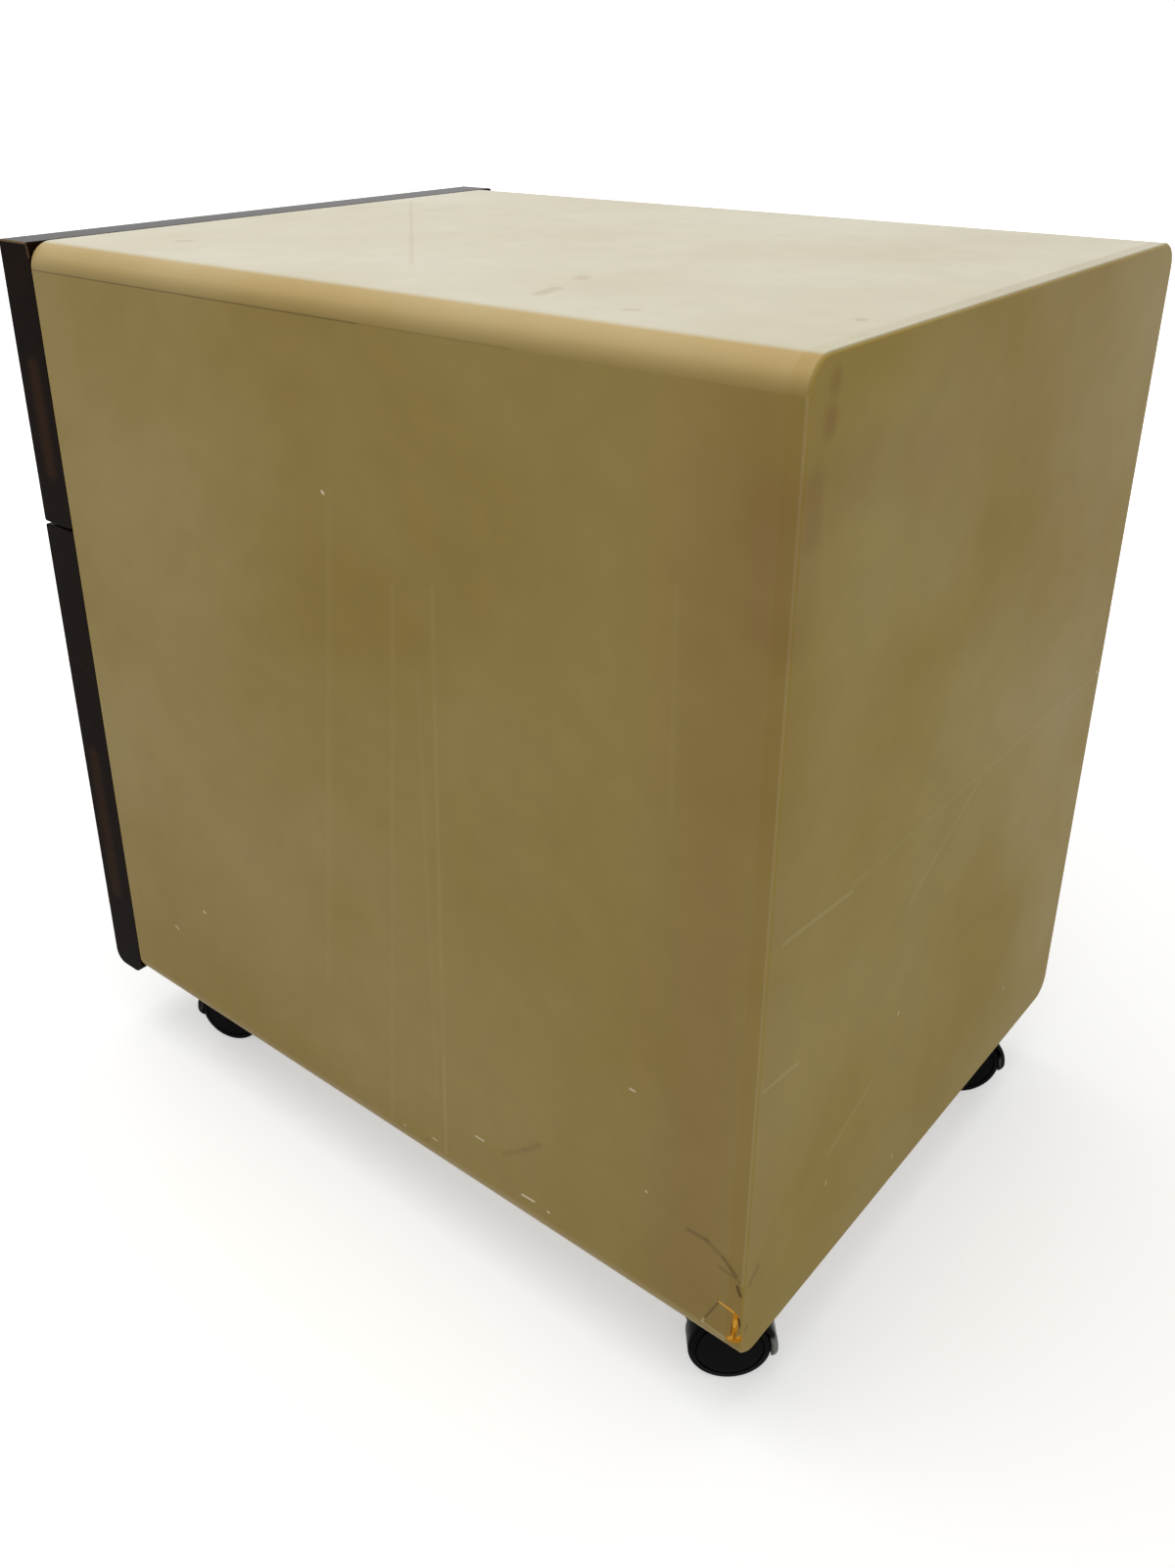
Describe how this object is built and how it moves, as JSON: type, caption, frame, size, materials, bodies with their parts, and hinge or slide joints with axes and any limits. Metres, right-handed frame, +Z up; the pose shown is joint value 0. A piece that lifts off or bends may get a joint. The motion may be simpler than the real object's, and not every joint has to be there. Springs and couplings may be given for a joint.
{
  "type": "mobile filing cabinet",
  "caption": "Wheeled pedestal with a box drawer over a file drawer in a rounded cream board body with dark fronts, on hooded twin-wheel casters.",
  "frame": {"origin": "on the floor under the middle of the overall outline", "axes": "+Z up, -Y towards the drawer fronts, +X to the right as seen from the front"},
  "size_m": [0.434, 0.594, 0.62],
  "materials": {
    "cream_board": "cream lacquer, satin, worn",
    "edge_wood": "cream lacquer, yellowed, satin",
    "dark_wood": "dark brown stain, satin",
    "drawer_wood": "clear lacquer, satin",
    "bottom_sheet": "smooth sheet, matt",
    "runner_steel": "powder coat, semi-gloss",
    "rail_steel": "powder coat, satin",
    "nylon": "moulded, smooth",
    "plate_zinc": "zinc plated, dulled",
    "axle_steel": "bright drawn",
    "caster_plastic": "moulded, semi-gloss",
    "wheel_plastic": "moulded, worn"
  },
  "bodies": {
    "carcass": {"top_panel": "cream_board", "bottom_panel": "cream_board", "left_side_panel": "cream_board", "right_side_panel": "cream_board", "back_panel": "cream_board", "top_left_edge": "edge_wood", "top_right_edge": "edge_wood", "bottom_left_edge": "edge_wood", "bottom_right_edge": "edge_wood", "upper_left_cabinet_runner": "runner_steel", "upper_right_cabinet_runner": "runner_steel", "lower_left_cabinet_runner": "runner_steel", "lower_right_cabinet_runner": "runner_steel", "rear_right_plate": "plate_zinc", "rear_left_plate": "plate_zinc", "front_right_plate": "plate_zinc", "front_left_plate": "plate_zinc", "caster_kingpins": "axle_steel"},
    "upper_drawer": {"upper_front": "dark_wood", "upper_left_side": "drawer_wood", "upper_right_side": "drawer_wood", "upper_back": "drawer_wood", "upper_bottom": "bottom_sheet", "upper_left_drawer_runner": "runner_steel", "upper_right_drawer_runner": "runner_steel"},
    "upper_front_rollers": {"upper_front_rollers": "nylon"},
    "upper_rear_rollers": {"upper_rear_rollers": "nylon"},
    "lower_drawer": {"lower_front": "dark_wood", "lower_left_side": "drawer_wood", "lower_right_side": "drawer_wood", "lower_back": "drawer_wood", "lower_bottom": "bottom_sheet", "lower_left_drawer_runner": "runner_steel", "lower_right_drawer_runner": "runner_steel", "left_file_rail": "rail_steel", "right_file_rail": "rail_steel"},
    "lower_front_rollers": {"lower_front_rollers": "nylon"},
    "lower_rear_rollers": {"lower_rear_rollers": "nylon"},
    "rear_right_caster": {"rear_right_hood": "caster_plastic", "rear_right_axle": "axle_steel"},
    "rear_right_first_wheel": {"rear_right_first_wheel": "wheel_plastic"},
    "rear_right_second_wheel": {"rear_right_second_wheel": "wheel_plastic"},
    "rear_left_caster": {"rear_left_hood": "caster_plastic", "rear_left_axle": "axle_steel"},
    "rear_left_first_wheel": {"rear_left_first_wheel": "wheel_plastic"},
    "rear_left_second_wheel": {"rear_left_second_wheel": "wheel_plastic"},
    "front_right_caster": {"front_right_hood": "caster_plastic", "front_right_axle": "axle_steel"},
    "front_right_first_wheel": {"front_right_first_wheel": "wheel_plastic"},
    "front_right_second_wheel": {"front_right_second_wheel": "wheel_plastic"},
    "front_left_caster": {"front_left_hood": "caster_plastic", "front_left_axle": "axle_steel"},
    "front_left_first_wheel": {"front_left_first_wheel": "wheel_plastic"},
    "front_left_second_wheel": {"front_left_second_wheel": "wheel_plastic"}
  },
  "joints": [
    {"name": "upper_drawer_slide", "type": "slide", "parent": "carcass", "child": "upper_drawer", "axis": [0, -1, 0], "range_m": [0, 0.39]},
    {"name": "upper_front_rollers_spin", "type": "hinge", "parent": "carcass", "child": "upper_front_rollers", "pos_m": [0, -0.246, 0.4687], "axis": [1, 0, 0], "range_deg": [0, 2040]},
    {"name": "upper_rear_rollers_spin", "type": "hinge", "parent": "upper_drawer", "child": "upper_rear_rollers", "pos_m": [0, 0.226, 0.4659], "axis": [1, 0, 0], "range_deg": [0, 2040]},
    {"name": "lower_drawer_slide", "type": "slide", "parent": "carcass", "child": "lower_drawer", "axis": [0, -1, 0], "range_m": [0, 0.39]},
    {"name": "lower_front_rollers_spin", "type": "hinge", "parent": "carcass", "child": "lower_front_rollers", "pos_m": [0, -0.246, 0.1117], "axis": [1, 0, 0], "range_deg": [0, 2040]},
    {"name": "lower_rear_rollers_spin", "type": "hinge", "parent": "lower_drawer", "child": "lower_rear_rollers", "pos_m": [0, 0.226, 0.1089], "axis": [1, 0, 0], "range_deg": [0, 2040]},
    {"name": "rear_right_swivel", "type": "hinge", "parent": "carcass", "child": "rear_right_caster", "pos_m": [0.162, 0.266, 0.05], "axis": [0, 0, 1], "continuous": true},
    {"name": "rear_right_first_wheel_spin", "type": "hinge", "parent": "rear_right_caster", "child": "rear_right_first_wheel", "pos_m": [0.16843, 0.25834, 0.025], "axis": [0.766, 0.6428, 0], "continuous": true},
    {"name": "rear_right_second_wheel_spin", "type": "hinge", "parent": "rear_right_caster", "child": "rear_right_second_wheel", "pos_m": [0.16843, 0.25834, 0.025], "axis": [0.766, 0.6428, 0], "continuous": true},
    {"name": "rear_left_swivel", "type": "hinge", "parent": "carcass", "child": "rear_left_caster", "pos_m": [-0.162, 0.266, 0.05], "axis": [0, 0, 1], "continuous": true},
    {"name": "rear_left_first_wheel_spin", "type": "hinge", "parent": "rear_left_caster", "child": "rear_left_first_wheel", "pos_m": [-0.15505, 0.25881, 0.025], "axis": [0.7193, 0.6947, 0], "continuous": true},
    {"name": "rear_left_second_wheel_spin", "type": "hinge", "parent": "rear_left_caster", "child": "rear_left_second_wheel", "pos_m": [-0.15505, 0.25881, 0.025], "axis": [0.7193, 0.6947, 0], "continuous": true},
    {"name": "front_right_swivel", "type": "hinge", "parent": "carcass", "child": "front_right_caster", "pos_m": [0.162, -0.225, 0.05], "axis": [0, 0, 1], "continuous": true},
    {"name": "front_right_first_wheel_spin", "type": "hinge", "parent": "front_right_caster", "child": "front_right_first_wheel", "pos_m": [0.15809, -0.21579, 0.025], "axis": [-0.9205, -0.3907, 0], "continuous": true},
    {"name": "front_right_second_wheel_spin", "type": "hinge", "parent": "front_right_caster", "child": "front_right_second_wheel", "pos_m": [0.15809, -0.21579, 0.025], "axis": [-0.9205, -0.3907, 0], "continuous": true},
    {"name": "front_left_swivel", "type": "hinge", "parent": "carcass", "child": "front_left_caster", "pos_m": [-0.162, -0.225, 0.05], "axis": [0, 0, 1], "continuous": true},
    {"name": "front_left_first_wheel_spin", "type": "hinge", "parent": "front_left_caster", "child": "front_left_first_wheel", "pos_m": [-0.15891, -0.21549, 0.025], "axis": [-0.9511, 0.309, 0], "continuous": true},
    {"name": "front_left_second_wheel_spin", "type": "hinge", "parent": "front_left_caster", "child": "front_left_second_wheel", "pos_m": [-0.15891, -0.21549, 0.025], "axis": [-0.9511, 0.309, 0], "continuous": true}
  ],
  "couplings": [
    {"joint": "upper_front_rollers_spin", "follows": "upper_drawer_slide", "rad_per_m": 90.909},
    {"joint": "upper_rear_rollers_spin", "follows": "upper_drawer_slide", "rad_per_m": 90.909},
    {"joint": "lower_front_rollers_spin", "follows": "lower_drawer_slide", "rad_per_m": 90.909},
    {"joint": "lower_rear_rollers_spin", "follows": "lower_drawer_slide", "rad_per_m": 90.909}
  ]
}
